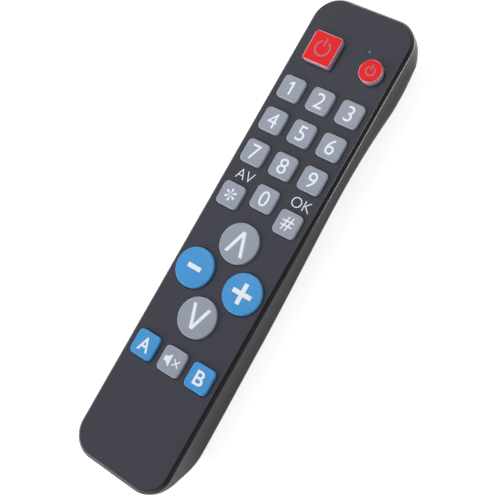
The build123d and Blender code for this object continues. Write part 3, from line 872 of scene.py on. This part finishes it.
def mould_key(name, part, size, edge, finish, slot):
    """Makes a key and returns where its print goes: the middle of its cap, and the height of its top."""
    place, top = key_place(name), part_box(name)[1].z
    piece = stack(name + part, key_levels(*size, top, edge), place, cap_steps(size), room=flange_room)
    dress(piece, finish, name, slot, name)
    return place, top


def printed(name, outlines, place, top, body, ink, slot):
    """Thin ink on a level surface, from flat outlines about the middle of the print."""
    work = bmesh.new()
    for index, outline in enumerate(outlines):
        base = top - ink_sink + index * ink_step
        low = [work.verts.new((place[0] + x, place[1] + y, base)) for x, y in outline]
        high = [work.verts.new((place[0] + x, place[1] + y, base + ink_thickness)) for x, y in outline]
        work.faces.new(high)
        work.faces.new(list(reversed(low)))
        add_sides(work, low, high)
    dress(finished(name, work), ink, body, slot)


def lettered(name, text, height, place, top, body, ink, slot, weight=0.0, width_share=1.0):
    """Printed letters or digits of a given height, centred on a place."""
    letters = bpy.data.curves.new(name, "FONT")
    letters.body = text
    letters.offset = weight
    letters.extrude = letter_half
    letters.resolution_u = letter_steps
    sketch = add_object(name + "_sketch", letters)
    depsgraph = bpy.context.evaluated_depsgraph_get()
    mesh = bpy.data.meshes.new_from_object(sketch.evaluated_get(depsgraph))
    bpy.data.objects.remove(sketch)
    xs = [vertex.co.x for vertex in mesh.vertices]
    ys = [vertex.co.y for vertex in mesh.vertices]
    size = height / (max(ys) - min(ys))
    centre = Matrix.Translation((-(min(xs) + max(xs)) / 2, -(min(ys) + max(ys)) / 2, letter_half))
    scale = Matrix.Diagonal((size * width_share, size, ink_thickness, 1))
    mesh.transform(Matrix.Translation((place[0], place[1], top - ink_sink)) @ scale @ centre)
    dress(add_object(name, mesh), ink, body, slot)


def swung(points, turn, x=0, y=0):
    """Flat points turned by degrees about the middle, then moved."""
    c, s = cos(radians(turn)), sin(radians(turn))
    return [(x + a * c - b * s, y + a * s + b * c) for a, b in points]


def bar(x, y, length, width, turn=0):
    """A straight stroke about a place, turned by degrees."""
    a, b = length / 2, width / 2
    return swung(((-a, -b), (a, -b), (a, b), (-a, b)), turn, x, y)


def cross(x, y, length, width, turn=0):
    """Two equal strokes that cross, as one outline."""
    a, b = length / 2, width / 2
    corners = ((a, -b), (a, b), (b, b), (b, a), (-b, a), (-b, b), (-a, b), (-a, -b), (-b, -b), (-b, -a),
               (b, -a), (b, -b))
    return swung(corners, turn, x, y)


def chevron(reach, height, stroke, way):
    """An open arrowhead with ends cut level, that points along Y by the way's sign."""
    inner_tip = (reach - stroke) * height / (reach - stroke / 2)
    corners = ((-reach, 0), (-stroke / 2, height), (stroke / 2, height), (reach, 0), (reach - stroke, 0),
               (0, inner_tip), (stroke - reach, 0))
    return [(x, way * (y - height / 2)) for x, y in corners]


def teardrop(start, reach, width, turn):
    """One arm of a star: narrow at the middle and round at its end."""
    points = [(start, 0)]
    radius = width / 2
    for k in range(arm_steps + 1):
        angle = radians(arm_sweep * (k / arm_steps - 0.5))
        points.append((reach - radius + radius * cos(angle), radius * sin(angle)))
    return swung(points, turn)


# Grey and blue silicone, each with a painted lighter tone on the edges and sides of its keys, standing in
# for light through the thin edge
key_grey = rimmed("grey_silicone", "949BAB", "BFC6D4")
key_blue = rimmed("blue_silicone", "3095D7", "52ACE6")
white_ink = moulded("white_ink", "EAEFF8", 0.5, grain=3000, depth=0.002, tone=0.02, patch=300)
key_signs = {
    "up": [chevron(*chevron_size, 1)],
    "down": [chevron(*chevron_size, -1)],
    "minus": [bar(0, 0, minus_length, bar_stroke)],
    "plus": [cross(0, 0, plus_length, bar_stroke)],
    "one": [[(x * MM, y * MM) for x, y in one]],
    "hash": [bar(side * hash_apart, 0, hash_height, hash_stroke, hash_lean) for side in (-1, 1)]
            + [bar(0, side * hash_apart, hash_width, hash_stroke) for side in (-1, 1)],
    "star": [teardrop(*star_arm, 360 / star_arms * (k + 0.5)) for k in range(star_arms)],
    "mute": [[(x * MM, y * MM) for x, y in speaker],
             cross(mute_cross_from_middle, 0, mute_cross, mute_stroke, 45)],
}
for sign, size in key_caps.items():
    name = "key_" + sign
    finish, slot = (key_blue, "key_blue") if sign in blue_signs else (key_grey, "key_grey")
    place, top = mould_key(name, "_cap", size, cap_edge, finish, slot)
    where = (place, top, name, white_ink, slot)
    if sign in key_signs:
        printed(name + "_print", key_signs[sign], *where)
    elif sign in digits:
        lettered(name + "_print", str(digits.index(sign)), number_height, *where)
    else:
        lettered(name + "_print", sign.upper(), letter_height, *where, letter_weight, letter_shares[sign])

# Power keys, moulded in pale translucent plastic with a red printed top that stops just short of the edge,
# and the usual ring and stroke left open in the red.
power_edge = 0.25 * MM
power_rim = 0.26 * MM
power_disc = 8.8 * MM
# Each power key's cap, and its sign's ring, stroke and stem
power_keys = (("power_square", (11.7 * MM, 12.0 * MM, 1.2 * MM), 6.4 * MM, 0.65 * MM, 3.0 * MM),
              ("power_round", (power_disc, power_disc, power_disc / 2), 3.9 * MM, 0.5 * MM, 2.1 * MM))
ring_gap = 60
ring_steps = 40
stem_rise_share = 0.4


def open_ring(diameter, stroke):
    """The ring of a power sign, open at the top."""
    outer, inner = diameter / 2, diameter / 2 - stroke
    angles = [radians(90 + ring_gap / 2 + (360 - ring_gap) * k / ring_steps) for k in range(ring_steps + 1)]
    return ([(outer * cos(a), outer * sin(a)) for a in angles]
            + [(inner * cos(a), inner * sin(a)) for a in reversed(angles)])


power_body = moulded("translucent_body", "E2C6D6", 0.3, grain=900, depth=0.001, Subsurface_Weight=0.3,
                     Subsurface_Scale=0.8 * MM, IOR=1.46)
power_red = moulded("red_print", "EE1620", 0.55, grain=1500, depth=0.002, tone=0.04, patch=150,
                    Specular_IOR_Level=0.15)
power_grey = moulded("grey_print", "A4787E", 0.5, grain=3000, depth=0.002, tone=0.02, patch=300,
                     Specular_IOR_Level=0.2)
for sign, size, ring, stroke, stem in power_keys:
    name = "key_" + sign
    key_caps[sign] = size
    place, top = mould_key(name, "_body", size, power_edge, power_body, "key_red")
    skin = [(*(value - 2 * power_rim for value in size), top + rise) for rise in (-ink_sink, ink_sink)]
    plate = stack(name + "_top", skin, place, cap_steps(size))
    dress(plate, power_red, name, "key_red", name)
    outlines = [open_ring(ring, stroke), bar(0, ring * stem_rise_share, stem, stroke, 90)]
    printed(name + "_print", outlines, place, top + ink_sink, name, power_grey, "key_red")

# Front cover, moulded in charcoal ABS with a fine matt texture on the face and a polished slope round it. A
# lip under it locates it in the rear shell, and four bosses take the case screws.
cover_ledge = 0.2 * MM
cover_wall = 1.8 * MM
side_rise = 0.15 * MM
bevel = 0.9 * MM
bevel_foot_round = 0.12 * MM
bevel_top_round = 0.35 * MM
round_steps = 6
lip_length = 1.7 * MM
key_slack = 0.25 * MM
aperture_edge = 0.12 * MM
edge_middle_share = 0.4
boss_diameter = 5.6 * MM
pilot = 1.8 * MM
screw_length = 5.2 * MM
indicator_hole = 1.8 * MM
level_normal = 0.9999
labels = {"AV": (-11.9 * MM, 20.6 * MM), "OK": (13.2 * MM, 20.3 * MM)}
label_height = 3.9 * MM
label_weight = -0.016

cover_low = face - cover_wall
lip_low = seam - lip_length
lip_inset = side_wall + fit_gap
rim_foot = seam + side_rise
slope = atan2(face - rim_foot, bevel)
foot_middle = rim_foot - bevel_foot_round * tan((pi / 2 - slope) / 2)
top_middle = cover_ledge + bevel + bevel_top_round * tan(slope / 2)
cover_levels = [(lip_inset + lip_wall, cover_low), (lip_inset + lip_wall, lip_low), (lip_inset, lip_low),
                (lip_inset, seam), (cover_ledge, seam)]
for k in range(round_steps + 1):
    lean = (pi / 2 - slope) * k / round_steps
    inset = cover_ledge + bevel_foot_round * (1 - cos(lean))
    cover_levels.append((inset, foot_middle + bevel_foot_round * sin(lean)))
for k in range(round_steps + 1):
    lean = slope * (1 - k / round_steps)
    cover_levels.append((top_middle - bevel_top_round * sin(lean), face - bevel_top_round * (1 - cos(lean))))
levels = [(body_width - 2 * inset, body_length - 2 * inset, corner_radius - inset, height)
          for inset, height in cover_levels]
cover = stack("front_cover_moulding", levels, steps=disc_steps)
bosses = [rod(place, boss_diameter, post_top + fit_gap, cover_low + fit_gap) for place in post_places]
shape_with(cover, bosses, "UNION")
holes = [rod(place, pilot, screw_seat, screw_seat + screw_length + fit_gap) for place in post_places]
edge_middle = aperture_edge * edge_middle_share
aperture_profile = ((key_slack, lip_low), (key_slack, face - aperture_edge),
                    (key_slack + edge_middle, face - edge_middle),
                    (key_slack + 2 * aperture_edge, face + aperture_edge))
for sign, size in key_caps.items():
    width, length, corner = size
    sides = [(width + 2 * by, length + 2 * by, corner + by, height) for by, height in aperture_profile]
    holes.append(stack("hole", sides, key_place("key_" + sign), cap_steps(size)))
holes.append(rod(pipe_place, indicator_hole, lip_low, face + beyond))
shape_with(cover, holes, "DIFFERENCE")

cover_finish = moulded("matt_charcoal", "3A3A45", 0.6, grain=3200, depth=0.010, tone=0.03,
                       Specular_IOR_Level=0.25)
slope_finish = moulded("polished_slope", "1C1C20", 0.1, grain=900, depth=0.0004, Specular_IOR_Level=0.8)
dress(cover, cover_finish, "casing", "cover_charcoal", "front_cover")
cover.data.materials.append(slope_finish)
edge_sides = {}
for side in cover.data.polygons:
    on_face = side.normal.z >= level_normal and side.center.z >= cover_low
    side.material_index = 0 if on_face else 1
    for edge in side.edge_keys:
        edge_sides.setdefault(edge, []).append(on_face)
for edge in cover.data.edges:
    if sum(edge_sides[edge.key]) == 1:
        edge.use_edge_sharp = True
for text, place in labels.items():
    where = (place, face, "casing", white_ink, "cover_charcoal")
    lettered("label_" + text.lower(), text, label_height, *where, label_weight)

# Case screws, four of plated steel with a cross recess, sunk in their holes in the underside.
screw_head_height = 1.5 * MM
head_round = 0.4 * MM
tip_length = 0.8 * MM
tip_share = 0.3
recess_length = 2.4 * MM
recess_width = 0.55 * MM
recess_depth = 0.8 * MM
screw_steps = 6
screw_inputs = ("Across Front", "Along Front", "Across Back", "Along Back", "Seat")


def case_screw():
    """One screw about the origin, its head down and its seat at zero."""
    shape = [(screw_head - 2 * head_round, -screw_head_height), (screw_head, head_round - screw_head_height),
             (screw_head, 0), (pilot, 0), (pilot, screw_length - tip_length),
             (pilot * tip_share, screw_length)]
    recess_top = recess_depth - screw_head_height
    arms = [block(-a / 2, a / 2, -b / 2, b / 2, -screw_head_height - beyond, recess_top)
            for a, b in ((recess_length, recess_width), (recess_width, recess_length))]
    return shape_with(turned("screw", shape, steps=screw_steps), arms, "DIFFERENCE")


def screw_set_tree(screw):
    """The same screw in each of its holes."""
    tree, given = start_tree("screw_set", Float=screw_inputs)
    model = add_node(tree, "GeometryNodeObjectInfo", {"Object": screw}).outputs["Geometry"]
    copies = []
    for across, along in (("Across Back", "Along Back"), ("Across Front", "Along Front")):
        for side in (-1, 1):
            sideways = reckon(tree, "MULTIPLY", given[across], side)
            place = add_node(tree, "ShaderNodeCombineXYZ", {"X": sideways, "Y": given[along],
                                                            "Z": given["Seat"]}).outputs[0]
            copies.append(moved(tree, model, Translation=place))
    joined = add_node(tree, "GeometryNodeJoinGeometry")
    for copy in copies:
        tree.links.new(copy, joined.inputs[0])
    return end_tree(tree, given, joined.outputs[0])


screw_model = case_screw()
screw_places = dict(zip(screw_inputs, (*front_post, *back_post, screw_seat)), Material=plated_steel)
screws = grown("case_screw_set", screw_set_tree(screw_model), screw_places)
bpy.data.objects.remove(screw_model)
dress(screws, plated_steel, "casing", "plated_steel", "case_screws")
